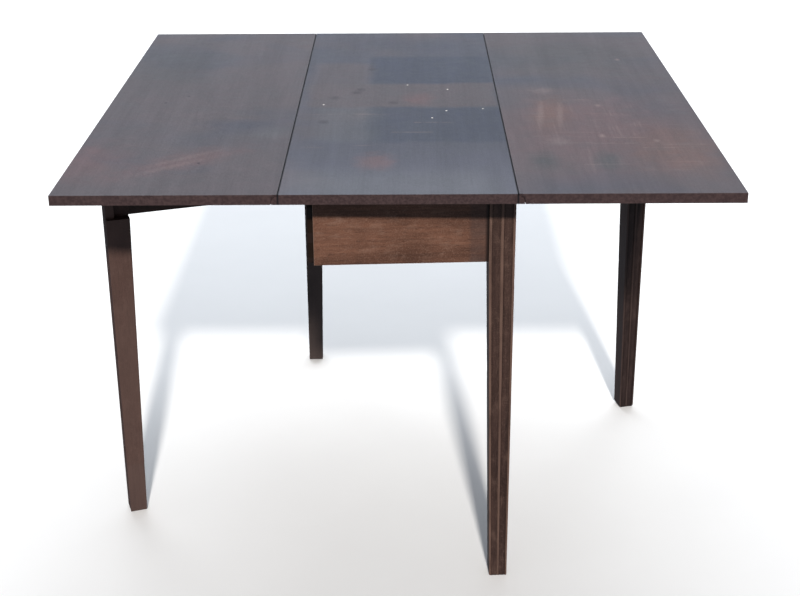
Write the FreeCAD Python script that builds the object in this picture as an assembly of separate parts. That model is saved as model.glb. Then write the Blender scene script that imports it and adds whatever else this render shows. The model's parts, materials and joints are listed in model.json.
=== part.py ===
import FreeCAD, Part
import math
import os

# A four-leg drop leaf table with two swing legs, in millimetres.
# X runs across the table from the left leaf to the right leaf, Y runs away from the front,
# Z is up. The origin is on the floor under the centre of the top.
# The table repeats itself after half a turn about Z, so every left-hand piece is modelled
# once and its right-hand twin is the same piece turned by half a turn.
# Both leaves are raised and both swing legs stand out under them.
# The base is modelled square, and then stands a little askew under the top.

Vec = FreeCAD.Vector

# Overall sizes
HEIGHT = 720.0
TOP_WIDTH = 1034.4
TOP_LENGTH = 1052.0
TOP_THICK = 16.0
UNDERSIDE = HEIGHT - TOP_THICK

# Rule joint between the centre board and each leaf
JOINT_X = 178.0
FILLET = 3.0
OVOLO_R = 10.0
JOINT_GAP = 0.8
PIVOT_Z = HEIGHT - FILLET - OVOLO_R
EDGE_ROUND = 0.8

# Legs: square at the rails, tapered below them on the two inner faces only
LEG_TOP = 41.0
LEG_FOOT = 30.0
LEG_FACE_X = 174.3
LEG_FACE_Y = 454.0
LEG_INNER_X = LEG_FACE_X - LEG_TOP
LEG_INNER_Y = LEG_FACE_Y - LEG_TOP

# Moulding on the two outer faces of a leg, as fractions of the face width:
# three narrow beads, and two broad reeds that sit between grooves
BEAD_SHARE = 0.095
GROOVE_SHARE = 0.02
GROOVE_DEPTH_SHARE = 0.044
REED_RISE_SHARE = 0.036
BEAD_DROP_SHARE = 0.012

# Rails and aprons
RAIL_HEIGHT = 124.5
RAIL_BOTTOM = UNDERSIDE - RAIL_HEIGHT
LEAF_GAP = 0.4
HEAD_TOP = UNDERSIDE - LEAF_GAP
OUTER_RAIL_FACE_X = 172.4
RAIL_SPLIT_X = 148.8
INNER_RAIL_FACE_X = 128.8
APRON_FACE_Y = 451.0
APRON_BACK_Y = 431.0
APRON_STEP_Y = 438.2
APRON_END_X = 139.7

# Wooden knuckle joint that carries a swing leg
KNUCKLE_X = 160.8
KNUCKLE_Y = 99.5
KNUCKLE_R = 11.6
KNUCKLE_CLEAR = 12.4
KNUCKLE_FINGERS = 5
FINGER_GAP = 0.3
KNUCKLE_PIN_R = 3.0
RUNNING_GAP = 0.05
LEFT_GATE_OPEN = 73.9
RIGHT_GATE_OPEN = 78.3
REBATE_GAP = 0.4
REBATE_DROP = 2.0

# How the base sits under the top
BASE_TURN = 2.68
BASE_SHIFT_X = -13.3

# Tenons
TENON_THICK = 8.0
TENON_SHOULDER = 14.0
RAIL_TENON = 28.0
APRON_TENON = 21.0
STUB_TENON = 15.0

# Dovetails that join an inner rail to the free end of an apron
TAIL_COUNT = 3
TAIL_ROOT = 22.0
TAIL_FLARE = 1.4

# Table hinges, let in flush under the top
HINGE_YS = {"front": -400.0, "middle": 0.0, "back": 400.0}
HINGE_WIDTH = 38.0
HINGE_KNUCKLES = 5
HINGE_SEGMENT_GAP = 0.2
FLAP_THICK = 1.5
CENTRE_FLAP = 25.0
LEAF_FLAP = 44.0
CENTRE_SPOT = 0.58
LEAF_NEAR_SPOT = 0.46
LEAF_FAR_SPOT = 0.82
SIDE_SPOT = 0.27
BARREL_R = 2.9
BARREL_CLEAR = 3.4
HINGE_PIN_R = 1.5
TRENCH_TOP = PIVOT_Z + 3.4
TRENCH_SIDE_GAP = 0.3

# Screws
SCREW_POINT = 3.0
SCREW_TIP_R = 0.3
SLOT_WIDTH = 0.28
SLOT_DEPTH = 0.22
FLAP_SCREW_LENGTH = 12.0
FLAP_SCREW_R = 1.5
FLAP_SCREW_HEAD_R = 3.1
RAIL_SCREW_LENGTH = 38.0
RAIL_SCREW_R = 2.2
RAIL_SCREW_HEAD_R = 4.4
RAIL_SCREW_HEAD = 2.6
RAIL_SCREW_PLACES = ((-52.0, 606.0), (140.0, 676.0), (345.0, 606.0))
POCKET_SCREW_LENGTH = 33.0
POCKET_SCREW_R = 2.0
POCKET_SCREW_HEAD_R = 4.0
POCKET_SCREW_HEAD = 2.4
POCKET_R = 6.5
POCKET_DEPTH = 22.0
POCKET_TILT = 15.0
GOUGE_LENGTH = 60.0
APRON_POCKET_X = 62.0
RAIL_POCKET_YS = (-240.0, 200.0)

# Glue blocks
CORNER_BLOCK = 34.0
CORNER_BLOCK_DROP = 12.0
GLUE_BLOCK = 18.0
GLUE_BLOCK_LENGTH = 64.0
GLUE_BLOCK_YS = (-330.0, -90.0, 90.0, 330.0)

# How far a cut runs past the face that it opens
OVERCUT = 1.0


def box(x_range, y_range, z_range):
    low = Vec(min(x_range), min(y_range), min(z_range))
    high = Vec(max(x_range), max(y_range), max(z_range))
    return Part.makeBox(high.x - low.x, high.y - low.y, high.z - low.z, low)


def turned(shape, degrees, x=0.0, y=0.0):
    """The shape turned about a vertical line through x, y."""
    copy = shape.copy()
    copy.rotate(Vec(x, y, 0), Vec(0, 0, 1), degrees)
    return copy


def half_turn(shape):
    return turned(shape, 180.0)


def moved(shape, x, y, z):
    copy = shape.copy()
    copy.translate(Vec(x, y, z))
    return copy


def on_base(shape):
    """Sets a piece of the square base in its place under the top."""
    return moved(turned(shape, BASE_TURN), BASE_SHIFT_X, 0, 0)


def joined(shapes):
    return shapes[0].fuse(shapes[1:]).removeSplitter()


def circle_point(centre_x, centre_z, radius, degrees, y):
    angle = math.radians(degrees)
    return Vec(centre_x + radius * math.cos(angle), y, centre_z + radius * math.sin(angle))


def arc_edge(start, middle, end):
    return Part.Arc(start, middle, end).toShape()


def polyline(points):
    return [Part.makeLine(a, b) for a, b in zip(points, points[1:])]


def rounded_ends(board):
    """Takes the sharpness off the four cross-grain edges of a board."""
    half_length = TOP_LENGTH / 2
    edges = []
    for edge in board.Edges:
        bounds = edge.BoundBox
        on_end = abs(abs(bounds.YMin) - half_length) < 0.01 and bounds.YLength < 0.01
        if on_end and bounds.ZLength < 0.01 and bounds.XLength > 100.0:
            edges.append(edge)
    return board.makeFillet(EDGE_ROUND, edges)


# The top


def centre_board_blank():
    """The centre board: an ovolo along both long edges, under a small square fillet."""
    y = -TOP_LENGTH / 2
    low_angle = 180.0 + math.degrees(math.asin((PIVOT_Z - UNDERSIDE) / OVOLO_R))
    left_low = circle_point(-JOINT_X, PIVOT_Z, OVOLO_R, low_angle, y)
    left_mid = circle_point(-JOINT_X, PIVOT_Z, OVOLO_R, (low_angle + 90.0) / 2, y)
    left_high = Vec(-JOINT_X, y, PIVOT_Z + OVOLO_R)
    right_low = Vec(-left_low.x, y, left_low.z)
    right_mid = Vec(-left_mid.x, y, left_mid.z)
    right_high = Vec(JOINT_X, y, left_high.z)
    edges = [arc_edge(left_low, left_mid, left_high)]
    edges += polyline([left_high, Vec(-JOINT_X, y, HEIGHT), Vec(JOINT_X, y, HEIGHT), right_high])
    edges.append(arc_edge(right_high, right_mid, right_low))
    edges += polyline([right_low, left_low])
    outline = Part.Face(Part.Wire(edges))
    return rounded_ends(outline.extrude(Vec(0, TOP_LENGTH, 0)))


def left_leaf_blank():
    """The left leaf: a cove along its inner edge that clears the ovolo as the leaf turns."""
    y = -TOP_LENGTH / 2
    outer = -TOP_WIDTH / 2
    inner = -JOINT_X - JOINT_GAP
    cove_r = OVOLO_R + JOINT_GAP
    start_angle = 90.0 + math.degrees(math.asin(JOINT_GAP / cove_r))
    cove_high = circle_point(-JOINT_X, PIVOT_Z, cove_r, start_angle, y)
    cove_mid = circle_point(-JOINT_X, PIVOT_Z, cove_r, (start_angle + 180.0) / 2, y)
    cove_low = Vec(-JOINT_X - cove_r, y, PIVOT_Z)
    bottom_inner = Vec(cove_low.x, y, UNDERSIDE)
    round_x = outer + EDGE_ROUND
    low_z = UNDERSIDE + EDGE_ROUND
    high_z = HEIGHT - EDGE_ROUND
    low_mid = circle_point(round_x, low_z, EDGE_ROUND, 225.0, y)
    high_mid = circle_point(round_x, high_z, EDGE_ROUND, 135.0, y)
    edges = polyline([bottom_inner, Vec(round_x, y, UNDERSIDE)])
    edges.append(arc_edge(Vec(round_x, y, UNDERSIDE), low_mid, Vec(outer, y, low_z)))
    edges += polyline([Vec(outer, y, low_z), Vec(outer, y, high_z)])
    edges.append(arc_edge(Vec(outer, y, high_z), high_mid, Vec(round_x, y, HEIGHT)))
    edges += polyline([Vec(round_x, y, HEIGHT), Vec(inner, y, HEIGHT), cove_high])
    edges.append(arc_edge(cove_high, cove_mid, cove_low))
    edges += polyline([cove_low, bottom_inner])
    outline = Part.Face(Part.Wire(edges))
    return rounded_ends(outline.extrude(Vec(0, TOP_LENGTH, 0)))


# Screws


def wood_screw(length, shank_r, head_r, head_height):
    """A countersunk screw along +Z, with its head's flat face and slot at z = 0."""
    point = SCREW_POINT * shank_r
    head = Part.makeCone(head_r, shank_r, head_height)
    shank = Part.makeCylinder(shank_r, length - point - head_height, Vec(0, 0, head_height))
    tip = Part.makeCone(shank_r, SCREW_TIP_R, point, Vec(0, 0, length - point))
    return joined([head, shank, tip])


def slotted(screw, head_r):
    """Cuts the driver slot in the head of a screw along +Z."""
    width = SLOT_WIDTH * head_r
    return screw.cut(box((-head_r, head_r), (-width / 2, width / 2), (-OVERCUT, SLOT_DEPTH * head_r)))


def flap_screw():
    return wood_screw(FLAP_SCREW_LENGTH, FLAP_SCREW_R, FLAP_SCREW_HEAD_R, FLAP_THICK)


def rail_screw():
    return wood_screw(RAIL_SCREW_LENGTH, RAIL_SCREW_R, RAIL_SCREW_HEAD_R, RAIL_SCREW_HEAD)


def pocket_screw():
    """A round-headed screw along +Z that seats at z = 0."""
    head = Part.makeCylinder(POCKET_SCREW_HEAD_R, POCKET_SCREW_HEAD, Vec(0, 0, -POCKET_SCREW_HEAD))
    point = SCREW_POINT * POCKET_SCREW_R
    shank_end = POCKET_SCREW_LENGTH - point
    shank = Part.makeCylinder(POCKET_SCREW_R, shank_end)
    tip = Part.makeCone(POCKET_SCREW_R, SCREW_TIP_R, point, Vec(0, 0, shank_end))
    return joined([head, shank, tip])


def left_rail_screw_set(slots):
    """Screws that run outwards through the left inner rail into the left fixed rail."""
    screws = []
    for y, z in RAIL_SCREW_PLACES:
        screw = rail_screw()
        if slots:
            screw = slotted(screw, RAIL_SCREW_HEAD_R)
        screw.rotate(Vec(0, 0, 0), Vec(0, 1, 0), -90.0)
        screws.append(moved(screw, -INNER_RAIL_FACE_X, y, z))
    return screws


def pocket_places():
    """Each pocket's seat and the heading, in degrees from +X, that it faces inwards."""
    drop = UNDERSIDE - POCKET_DEPTH
    lean = POCKET_DEPTH * math.tan(math.radians(POCKET_TILT))
    rail_mid = (INNER_RAIL_FACE_X + RAIL_SPLIT_X) / 2
    apron_mid = (APRON_FACE_Y + APRON_BACK_Y) / 2
    places = []
    for x in (-APRON_POCKET_X, APRON_POCKET_X):
        places.append((x, -apron_mid + lean, drop, 90.0))
        places.append((x, apron_mid - lean, drop, 270.0))
    for y in RAIL_POCKET_YS:
        places.append((-rail_mid + lean, y, drop, 0.0))
        places.append((rail_mid - lean, -y, drop, 180.0))
    return places


def in_pocket(shape, place):
    """Leans a shape that stands along +Z so that its top tilts away from the heading."""
    x, y, z, heading = place
    copy = shape.copy()
    copy.rotate(Vec(0, 0, 0), Vec(0, 1, 0), -POCKET_TILT)
    copy.rotate(Vec(0, 0, 0), Vec(0, 0, 1), heading)
    return moved(copy, x, y, z)


def pocket_screws():
    return [in_pocket(pocket_screw(), place) for place in pocket_places()]


def pocket_cuts():
    """The gouged pocket under each seat, together with the hole for its screw."""
    gouge = Part.makeCylinder(POCKET_R, GOUGE_LENGTH, Vec(0, 0, -GOUGE_LENGTH))
    cutter = joined([gouge, pocket_screw()])
    return [in_pocket(cutter, place) for place in pocket_places()]


# Table hinges, for the left rule joint


def segments(owner):
    """The spans along Y of the hinge knuckles that belong to the centre flap or the leaf flap."""
    pitch = HINGE_WIDTH / HINGE_KNUCKLES
    first = 0 if owner == "centre" else 1
    spans = []
    for index in range(first, HINGE_KNUCKLES, 2):
        low = -HINGE_WIDTH / 2 + index * pitch
        start = low + (HINGE_SEGMENT_GAP / 2 if index > 0 else 0.0)
        last = index == HINGE_KNUCKLES - 1
        end = low + pitch - (0.0 if last else HINGE_SEGMENT_GAP / 2)
        spans.append((start, end))
    return spans


def flap(owner, screw_spots):
    """One hinge flap about a pin along Y through the origin."""
    side = 1.0 if owner == "centre" else -1.0
    reach = CENTRE_FLAP if owner == "centre" else LEAF_FLAP
    bore = HINGE_PIN_R if owner == "centre" else HINGE_PIN_R + RUNNING_GAP
    floor = UNDERSIDE - PIVOT_Z
    plate_z = (floor, floor + FLAP_THICK)
    width = (-HINGE_WIDTH / 2, HINGE_WIDTH / 2)
    pieces = [box((side * BARREL_CLEAR, side * (BARREL_CLEAR + reach)), width, plate_z)]
    for span in segments(owner):
        pieces.append(box((0.0, side * BARREL_CLEAR), span, plate_z))
        pieces.append(Part.makeCylinder(BARREL_R, span[1] - span[0], Vec(0, span[0], 0), Vec(0, 1, 0)))
    shape = joined(pieces)
    start = Vec(0, width[0] - OVERCUT, 0)
    shape = shape.cut(Part.makeCylinder(bore, HINGE_WIDTH + 2 * OVERCUT, start, Vec(0, 1, 0)))
    for x, y in screw_spots:
        shape = shape.cut(moved(flap_screw(), x, y, floor))
    return shape


def centre_flap_spots():
    x = BARREL_CLEAR + CENTRE_SPOT * CENTRE_FLAP
    side = SIDE_SPOT * HINGE_WIDTH
    return [(x, -side), (x, side)]


def leaf_flap_spots():
    near = -BARREL_CLEAR - LEAF_NEAR_SPOT * LEAF_FLAP
    far = -BARREL_CLEAR - LEAF_FAR_SPOT * LEAF_FLAP
    side = SIDE_SPOT * HINGE_WIDTH
    return [(near, -side), (near, side), (far, 0.0)]


def at_left_hinge(shape, y):
    return moved(shape, -JOINT_X, y, PIVOT_Z)


def left_centre_flap(y):
    return at_left_hinge(flap("centre", centre_flap_spots()), y)


def left_leaf_flap(y):
    return at_left_hinge(flap("leaf", leaf_flap_spots()), y)


def left_hinge_pin(y):
    pin = Part.makeCylinder(HINGE_PIN_R, HINGE_WIDTH, Vec(0, -HINGE_WIDTH / 2, 0), Vec(0, 1, 0))
    return at_left_hinge(pin, y)


def left_flap_screws(spots, slots):
    screws = []
    for y in HINGE_YS.values():
        for x, offset in spots:
            screw = flap_screw()
            if slots:
                screw = slotted(screw, FLAP_SCREW_HEAD_R)
            screws.append(moved(screw, -JOINT_X + x, y + offset, UNDERSIDE))
    return screws


def left_flap_recess(owner, y):
    """The space that a flap's plate takes out of the board above it."""
    side = 1.0 if owner == "centre" else -1.0
    reach = CENTRE_FLAP if owner == "centre" else LEAF_FLAP
    near = 0.0 if owner == "leaf" else side * BARREL_CLEAR
    x_range = (-JOINT_X + near, -JOINT_X + side * (BARREL_CLEAR + reach))
    y_range = (y - HINGE_WIDTH / 2, y + HINGE_WIDTH / 2)
    return box(x_range, y_range, (UNDERSIDE - OVERCUT, UNDERSIDE + FLAP_THICK))


def left_barrel_trench(y):
    """The trench under the ovolo in which the hinge barrel and the leaf flap's root turn."""
    half = HINGE_WIDTH / 2 + TRENCH_SIDE_GAP
    x_range = (-JOINT_X - OVOLO_R - OVERCUT, -JOINT_X + BARREL_CLEAR)
    return box(x_range, (y - half, y + half), (UNDERSIDE - OVERCUT, TRENCH_TOP))


def centre_board():
    board = centre_board_blank()
    cuts = []
    for y in HINGE_YS.values():
        cuts += [left_flap_recess("centre", y), left_barrel_trench(y)]
    cuts += left_flap_screws(centre_flap_spots(), slots=False)
    cuts += [half_turn(cut) for cut in cuts]
    cuts += [on_base(screw) for screw in pocket_screws()]
    return board.cut(cuts)


def left_leaf():
    cuts = [left_flap_recess("leaf", y) for y in HINGE_YS.values()]
    cuts += left_flap_screws(leaf_flap_spots(), slots=False)
    return left_leaf_blank().cut(cuts)


# Legs


def moulded_face(size):
    """Edges of one outer face, from its corner at u = 0 to its other corner at u = size.

    Each entry is a list of (u, depth) points: two for a straight edge, three for an arc."""
    bead = BEAD_SHARE * size
    groove = GROOVE_SHARE * size
    floor = GROOVE_DEPTH_SHARE * size
    reed = (size - 3 * bead - 4 * groove) / 2
    bead_edge = BEAD_DROP_SHARE * size
    crest = floor - REED_RISE_SHARE * size
    centre = size / 2
    parts = []
    u = bead
    parts.append([(0.0, 0.0), (u, 0.0)])
    parts.append([(u, 0.0), (u, floor)])
    parts.append([(u, floor), (u + groove, floor)])
    u += groove
    parts.append([(u, floor), (u + reed / 2, crest), (u + reed, floor)])
    u += reed
    parts.append([(u, floor), (u + groove, floor)])
    u += groove
    parts.append([(u, floor), (u, bead_edge)])
    parts.append([(u, bead_edge), (centre, 0.0), (size - u, bead_edge)])
    mirrored = []
    for part in reversed(parts[:-1]):
        mirrored.append([(size - point[0], point[1]) for point in reversed(part)])
    return parts + mirrored


def leg_section(size, z):
    """A leg's outline, with its outer corner at the origin and its body towards +X and +Y."""
    face = moulded_face(size)
    edges = []
    for part in face:
        points = [Vec(u, depth, z) for u, depth in part]
        edges.append(arc_edge(*points) if len(points) == 3 else Part.makeLine(*points))
    edges += polyline([Vec(size, 0, z), Vec(size, size, z), Vec(0, size, z)])
    for part in reversed(face):
        points = [Vec(depth, u, z) for u, depth in reversed(part)]
        edges.append(arc_edge(*points) if len(points) == 3 else Part.makeLine(*points))
    return Part.Wire(edges)


def leg_blank(top):
    """A moulded leg: square where the rails meet it, then tapered to the foot."""
    foot = leg_section(LEG_FOOT, 0.0)
    knee = leg_section(LEG_TOP, RAIL_BOTTOM)
    head = leg_section(LEG_TOP, top)
    taper = Part.makeLoft([foot, knee], True, True)
    square = Part.makeLoft([knee, head], True, True)
    return joined([taper, square])


def rail_tenon_z():
    return (RAIL_BOTTOM + TENON_SHOULDER, UNDERSIDE - TENON_SHOULDER)


def left_rail_tenon(y_start, y_end):
    """The tenon of the outer rail, about the line of the knuckle pin."""
    x_range = (-KNUCKLE_X - TENON_THICK / 2, -KNUCKLE_X + TENON_THICK / 2)
    return box(x_range, (y_start, y_end), rail_tenon_z())


def left_stub_tenon():
    """The stub tenon of the left inner rail in the back left leg."""
    x = (LEG_INNER_X + RAIL_SPLIT_X) / 2
    x_range = (-x - TENON_THICK / 2, -x + TENON_THICK / 2)
    return box(x_range, (LEG_INNER_Y, LEG_INNER_Y + STUB_TENON), rail_tenon_z())


def front_apron_tenon():
    """The tenon of the front apron in the front right leg."""
    y = -(APRON_FACE_Y + APRON_BACK_Y) / 2
    y_range = (y - TENON_THICK / 2, y + TENON_THICK / 2)
    return box((LEG_INNER_X, LEG_INNER_X + APRON_TENON), y_range, rail_tenon_z())


def back_left_leg():
    leg = turned(leg_blank(HEAD_TOP), -90.0)
    leg = moved(leg, -LEG_FACE_X, LEG_FACE_Y, 0)
    mortises = [left_rail_tenon(LEG_INNER_Y, LEG_INNER_Y + RAIL_TENON), left_stub_tenon()]
    mortises.append(half_turn(front_apron_tenon()))
    return leg.cut(mortises)


def left_gate_leg_closed():
    """The left swing leg, shut against the front left corner of the frame.

    Its head is rebated to close over the stepped corner of the apron and inner rail."""
    leg = moved(leg_blank(HEAD_TOP), -LEG_FACE_X, -LEG_FACE_Y, 0)
    step_y = -APRON_STEP_Y - REBATE_GAP
    x_end = -LEG_INNER_X + OVERCUT
    z_range = (RAIL_BOTTOM - REBATE_DROP, HEAD_TOP + OVERCUT)
    over_rail = box((-RAIL_SPLIT_X - REBATE_GAP, x_end), (step_y, -LEG_INNER_Y + OVERCUT), z_range)
    over_apron = box((-APRON_END_X - REBATE_GAP, x_end), (-LEG_FACE_Y - OVERCUT, step_y), z_range)
    tenon = left_rail_tenon(-LEG_INNER_Y - RAIL_TENON, -LEG_INNER_Y)
    return leg.cut([over_rail, over_apron, tenon])


# Rails


def finger_spans(owner, top):
    """The heights of the knuckle fingers that the fixed rail or the fly rail keeps."""
    pitch = RAIL_HEIGHT / KNUCKLE_FINGERS
    first = 0 if owner == "fixed" else 1
    spans = []
    for index in range(first, KNUCKLE_FINGERS, 2):
        low = RAIL_BOTTOM + index * pitch
        high = min(low + pitch, top)
        if owner == "fly":
            low += FINGER_GAP
            high -= FINGER_GAP
        spans.append((low, high))
    return spans


def knuckle(body, owner, direction, top, bore):
    """Adds the fingers to a rail that ends KNUCKLE_CLEAR away from the pin.

    direction is the way along Y from the pin to the rail's body."""
    pieces = [body]
    for low, high in finger_spans(owner, top):
        x_range = (-KNUCKLE_X - KNUCKLE_R, -KNUCKLE_X + KNUCKLE_R)
        y_range = (-KNUCKLE_Y, -KNUCKLE_Y + direction * KNUCKLE_CLEAR)
        pieces.append(box(x_range, y_range, (low, high)))
        pieces.append(Part.makeCylinder(KNUCKLE_R, high - low, Vec(-KNUCKLE_X, -KNUCKLE_Y, low)))
    start = Vec(-KNUCKLE_X, -KNUCKLE_Y, RAIL_BOTTOM - OVERCUT)
    return joined(pieces).cut(Part.makeCylinder(bore, RAIL_HEIGHT + 2 * OVERCUT, start))


def left_fixed_rail():
    """The outer rail between the knuckle and the back left leg, glued to the inner rail."""
    y_range = (-KNUCKLE_Y + KNUCKLE_CLEAR, LEG_INNER_Y)
    body = box((-OUTER_RAIL_FACE_X, -RAIL_SPLIT_X), y_range, (RAIL_BOTTOM, HEAD_TOP))
    body = joined([body, left_rail_tenon(LEG_INNER_Y, LEG_INNER_Y + RAIL_TENON)])
    rail = knuckle(body, "fixed", 1.0, HEAD_TOP, KNUCKLE_PIN_R)
    return rail.cut(left_rail_screw_set(slots=False))


def left_fly_rail_closed():
    """The outer rail that swings, between the knuckle and the swing leg."""
    x_range = (-KNUCKLE_X - KNUCKLE_R, -KNUCKLE_X + KNUCKLE_R)
    y_range = (-LEG_INNER_Y, -KNUCKLE_Y - KNUCKLE_CLEAR)
    body = box(x_range, y_range, (RAIL_BOTTOM, HEAD_TOP))
    body = joined([body, left_rail_tenon(-LEG_INNER_Y - RAIL_TENON, -LEG_INNER_Y)])
    return knuckle(body, "fly", -1.0, HEAD_TOP, KNUCKLE_PIN_R + RUNNING_GAP)


def left_knuckle_pin():
    length = HEAD_TOP - RAIL_BOTTOM
    return Part.makeCylinder(KNUCKLE_PIN_R, length, Vec(-KNUCKLE_X, -KNUCKLE_Y, RAIL_BOTTOM))


def left_dovetails():
    """The tails on the front end of the left inner rail, which lock into the apron."""
    pitch = RAIL_HEIGHT / TAIL_COUNT
    tails = []
    for index in range(TAIL_COUNT):
        z = RAIL_BOTTOM + (index + 0.5) * pitch
        root = TAIL_ROOT / 2
        end = root + TAIL_FLARE
        x = -RAIL_SPLIT_X
        corners = [
            Vec(x, -APRON_BACK_Y, z - root),
            Vec(x, -APRON_STEP_Y, z - end),
            Vec(x, -APRON_STEP_Y, z + end),
            Vec(x, -APRON_BACK_Y, z + root),
            Vec(x, -APRON_BACK_Y, z - root),
        ]
        tail = Part.Face(Part.makePolygon(corners))
        tails.append(tail.extrude(Vec(RAIL_SPLIT_X - INNER_RAIL_FACE_X, 0, 0)))
    return tails


def left_inner_rail():
    """The full-length inner rail that the knuckled outer rail is fixed against."""
    x_range = (-RAIL_SPLIT_X, -INNER_RAIL_FACE_X)
    body = box(x_range, (-APRON_BACK_Y, LEG_INNER_Y), (RAIL_BOTTOM, UNDERSIDE))
    rail = joined([body, left_stub_tenon()] + left_dovetails())
    return rail.cut(left_rail_screw_set(slots=False) + pocket_cuts())


def front_apron():
    """The front apron: tenoned into the front right leg, stepped at its free left end."""
    z_range = (RAIL_BOTTOM, UNDERSIDE)
    board = box((-APRON_END_X, LEG_INNER_X), (-APRON_FACE_Y, -APRON_BACK_Y), z_range)
    tongue = box((-RAIL_SPLIT_X, -APRON_END_X), (-APRON_STEP_Y, -APRON_BACK_Y), z_range)
    apron = joined([board, tongue, front_apron_tenon()])
    return apron.cut(left_dovetails() + pocket_cuts())


# Glue blocks


def corner_block(x_side, y_side):
    """A three-sided block in a corner between an inner rail and an apron."""
    x = x_side * INNER_RAIL_FACE_X
    y = y_side * APRON_BACK_Y
    z = RAIL_BOTTOM + CORNER_BLOCK_DROP
    corners = [
        Vec(x, y, z),
        Vec(x - x_side * CORNER_BLOCK, y, z),
        Vec(x, y - y_side * CORNER_BLOCK, z),
        Vec(x, y, z),
    ]
    face = Part.Face(Part.makePolygon(corners))
    return face.extrude(Vec(0, 0, RAIL_HEIGHT - 2 * CORNER_BLOCK_DROP))


def left_glue_blocks():
    """Short blocks rubbed into the angle between the left inner rail and the top."""
    x_range = (-INNER_RAIL_FACE_X, -INNER_RAIL_FACE_X + GLUE_BLOCK)
    half = GLUE_BLOCK_LENGTH / 2
    z_range = (UNDERSIDE - GLUE_BLOCK, UNDERSIDE)
    return [box(x_range, (y - half, y + half), z_range) for y in GLUE_BLOCK_YS]


# Assembly


def left_gate(shape):
    return turned(shape, -LEFT_GATE_OPEN, -KNUCKLE_X, -KNUCKLE_Y)


def right_gate(shape):
    return turned(half_turn(shape), -RIGHT_GATE_OPEN, KNUCKLE_X, KNUCKLE_Y)


def hinge_parts():
    parts = {}
    for place, y in HINGE_YS.items():
        parts["left_" + place + "_centre_flap"] = left_centre_flap(y)
        parts["left_" + place + "_leaf_flap"] = left_leaf_flap(y)
        parts["left_" + place + "_hinge_pin"] = left_hinge_pin(y)
        parts["right_" + place + "_centre_flap"] = half_turn(left_centre_flap(-y))
        parts["right_" + place + "_leaf_flap"] = half_turn(left_leaf_flap(-y))
        parts["right_" + place + "_hinge_pin"] = half_turn(left_hinge_pin(-y))
    centre_screws = left_flap_screws(centre_flap_spots(), slots=True)
    leaf_screws = left_flap_screws(leaf_flap_spots(), slots=True)
    parts["left_centre_flap_screws"] = Part.makeCompound(centre_screws)
    parts["right_centre_flap_screws"] = half_turn(Part.makeCompound(centre_screws))
    parts["left_leaf_flap_screws"] = Part.makeCompound(leaf_screws)
    parts["right_leaf_flap_screws"] = half_turn(Part.makeCompound(leaf_screws))
    return parts


def top_parts():
    leaf = left_leaf()
    return {
        "top_centre_board": centre_board(),
        "left_leaf_board": leaf,
        "right_leaf_board": half_turn(leaf),
    }


def frame_parts():
    leg = back_left_leg()
    apron = front_apron()
    inner = left_inner_rail()
    outer = left_fixed_rail()
    pin = left_knuckle_pin()
    rail_screws = Part.makeCompound(left_rail_screw_set(slots=True))
    blocks = Part.makeCompound(left_glue_blocks())
    parts = {
        "back_left_leg": leg,
        "front_right_leg": half_turn(leg),
        "front_apron": apron,
        "back_apron": half_turn(apron),
        "left_inner_rail": inner,
        "right_inner_rail": half_turn(inner),
        "left_fixed_rail": outer,
        "right_fixed_rail": half_turn(outer),
        "left_knuckle_pin": pin,
        "right_knuckle_pin": half_turn(pin),
        "left_rail_screws": rail_screws,
        "right_rail_screws": half_turn(rail_screws),
        "left_glue_blocks": blocks,
        "right_glue_blocks": half_turn(blocks),
        "top_pocket_screws": Part.makeCompound(pocket_screws()),
    }
    for x_name, x_side in (("left", -1.0), ("right", 1.0)):
        for y_name, y_side in (("front", -1.0), ("back", 1.0)):
            parts[y_name + "_" + x_name + "_corner_block"] = corner_block(x_side, y_side)
    return {name: on_base(shape) for name, shape in parts.items()}


def gate_parts():
    leg = left_gate_leg_closed()
    rail = left_fly_rail_closed()
    return {
        "left_gate_leg": on_base(left_gate(leg)),
        "left_fly_rail": on_base(left_gate(rail)),
        "right_gate_leg": on_base(right_gate(leg)),
        "right_fly_rail": on_base(right_gate(rail)),
    }


def all_parts():
    parts = {}
    for group in (top_parts(), frame_parts(), gate_parts(), hinge_parts()):
        parts.update(group)
    return parts


def main():
    os.makedirs("parts", exist_ok=True)
    for name, shape in all_parts().items():
        shape.exportStep("parts/" + name + ".step")


main()
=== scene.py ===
import json
import math
import random

import bmesh
import bpy
from mathutils import Matrix, Vector, noise
from mathutils.kdtree import KDTree


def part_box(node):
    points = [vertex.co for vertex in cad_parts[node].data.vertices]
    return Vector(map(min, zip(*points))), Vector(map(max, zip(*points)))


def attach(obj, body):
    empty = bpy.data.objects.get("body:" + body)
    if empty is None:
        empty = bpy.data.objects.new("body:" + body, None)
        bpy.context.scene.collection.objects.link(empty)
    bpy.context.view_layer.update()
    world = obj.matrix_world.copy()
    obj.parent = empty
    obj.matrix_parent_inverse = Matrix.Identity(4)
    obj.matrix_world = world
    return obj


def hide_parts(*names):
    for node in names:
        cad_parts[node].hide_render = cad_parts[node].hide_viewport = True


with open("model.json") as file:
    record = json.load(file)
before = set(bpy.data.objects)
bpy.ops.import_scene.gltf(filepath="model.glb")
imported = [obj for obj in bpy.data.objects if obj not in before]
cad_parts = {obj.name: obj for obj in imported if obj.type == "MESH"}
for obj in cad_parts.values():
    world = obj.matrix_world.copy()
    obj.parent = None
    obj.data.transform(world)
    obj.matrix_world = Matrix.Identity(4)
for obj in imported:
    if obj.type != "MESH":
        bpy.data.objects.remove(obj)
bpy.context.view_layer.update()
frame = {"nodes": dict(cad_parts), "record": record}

# The looks of an old mahogany drop leaf table: its boards, legs, aprons and rails are the frame's own
# pieces with their arrises rubbed round and slightly chipped. Its blocks and iron keep their shapes.
# Metres throughout; X runs across the table, Y away from the front, Z up.

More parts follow.
